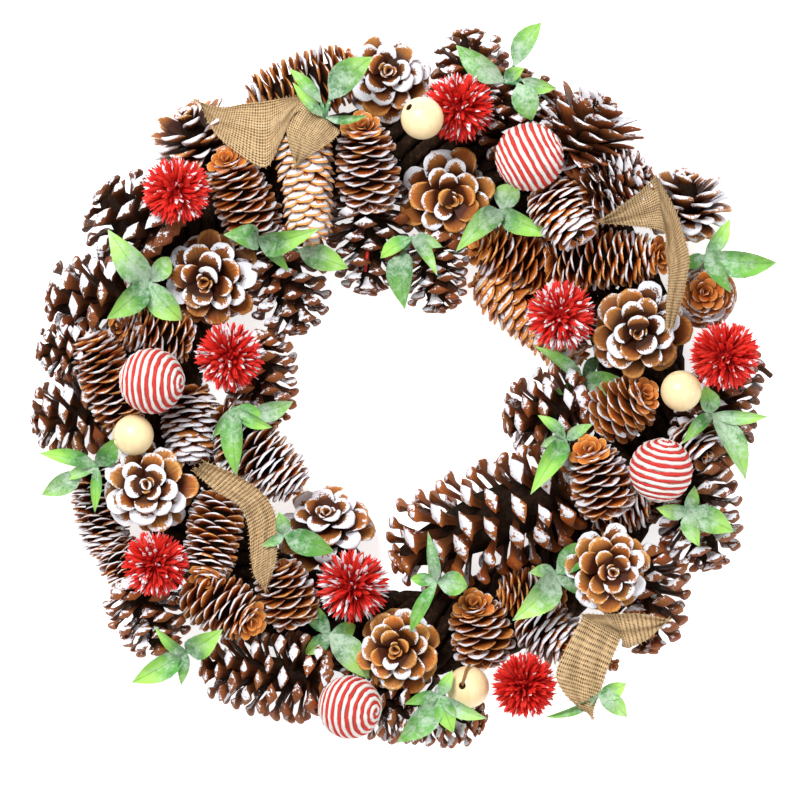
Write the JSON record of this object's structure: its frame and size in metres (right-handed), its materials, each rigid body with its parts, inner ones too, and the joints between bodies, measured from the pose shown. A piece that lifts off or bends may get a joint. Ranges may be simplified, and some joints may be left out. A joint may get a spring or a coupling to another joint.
{
  "type": "preserved wreath",
  "caption": "Round wreath of frosted cones on a twisted vine ring, with spiky pompoms, twine-wound balls, wooden beads, leaf sprigs and burlap strips.",
  "frame": {"origin": "under the middle of the whole wreath, on the surface that it lies on", "axes": "+Z out of the wreath's front, +Y towards its top and +X to the right as seen from the front"},
  "size_m": [0.3604, 0.3494, 0.0828],
  "materials": {
    "vine": "dull dark brown bark",
    "pine_cone": "dull dark brown scales with white frosted tips",
    "small_cone": "orange-brown scales edged in white frost",
    "rosette_cone": "orange-brown open scales with white frosted rims",
    "pompom": "red bristles with white flecks",
    "twine": "red and white cord wound side by side",
    "bead": "pale satin wood",
    "leaf": "green with a whitish frosted coat",
    "burlap": "coarse tan open weave with frayed edges"
  },
  "bodies": {
    "root": {"bead_bottom": "bead", "bead_left": "bead", "bead_right": "bead", "bead_top": "bead", "burlap_lower_left": "burlap", "burlap_lower_right": "burlap", "burlap_right": "burlap", "burlap_top_left": "burlap", "cones_inner_left": "pine_cone", "cones_inner_right": "pine_cone", "cones_inner_top": "pine_cone", "cones_inner_upper_right": "small_cone", "cones_lower_left": "small_cone", "cones_lower_right": "small_cone", "cones_outer_bottom": "pine_cone", "cones_outer_left": "pine_cone", "cones_outer_right": "pine_cone", "cones_outer_top": "pine_cone", "cones_top": "small_cone", "cones_upper_left": "pine_cone", "pine_cone_long": "pine_cone", "pompom_bottom": "pompom", "pompom_inner_bottom": "pompom", "pompom_inner_right": "pompom", "pompom_left": "pompom", "pompom_lower_left": "pompom", "pompom_right": "pompom", "pompom_top": "pompom", "pompom_upper_left": "pompom", "rosette_cone_bottom": "rosette_cone", "rosette_cone_left": "rosette_cone", "rosette_cone_lower_left": "rosette_cone", "rosette_cone_lower_right": "rosette_cone", "rosette_cone_right": "rosette_cone", "rosette_cone_top": "rosette_cone", "sprig_bottom": "leaf", "sprig_bottom_left": "leaf", "sprig_inner_bottom": "leaf", "sprig_inner_left": "leaf", "sprig_inner_lower_left": "leaf", "sprig_inner_right": "leaf", "sprig_inner_right_low": "leaf", "sprig_inner_top": "leaf", "sprig_left": "leaf", "sprig_left_edge": "leaf", "sprig_lower_left": "leaf", "sprig_lower_right": "leaf", "sprig_lower_right_edge": "leaf", "sprig_lower_right_tip": "leaf", "sprig_right": "leaf", "sprig_right_edge": "leaf", "sprig_top": "leaf", "sprig_top_inner": "leaf", "sprig_top_left": "leaf", "sprig_upper_left_inner": "leaf", "twine_ball_bottom": "twine", "twine_ball_left": "twine", "twine_ball_right": "twine", "twine_ball_top": "twine", "vine_ring": "vine"}
  },
  "joints": []
}
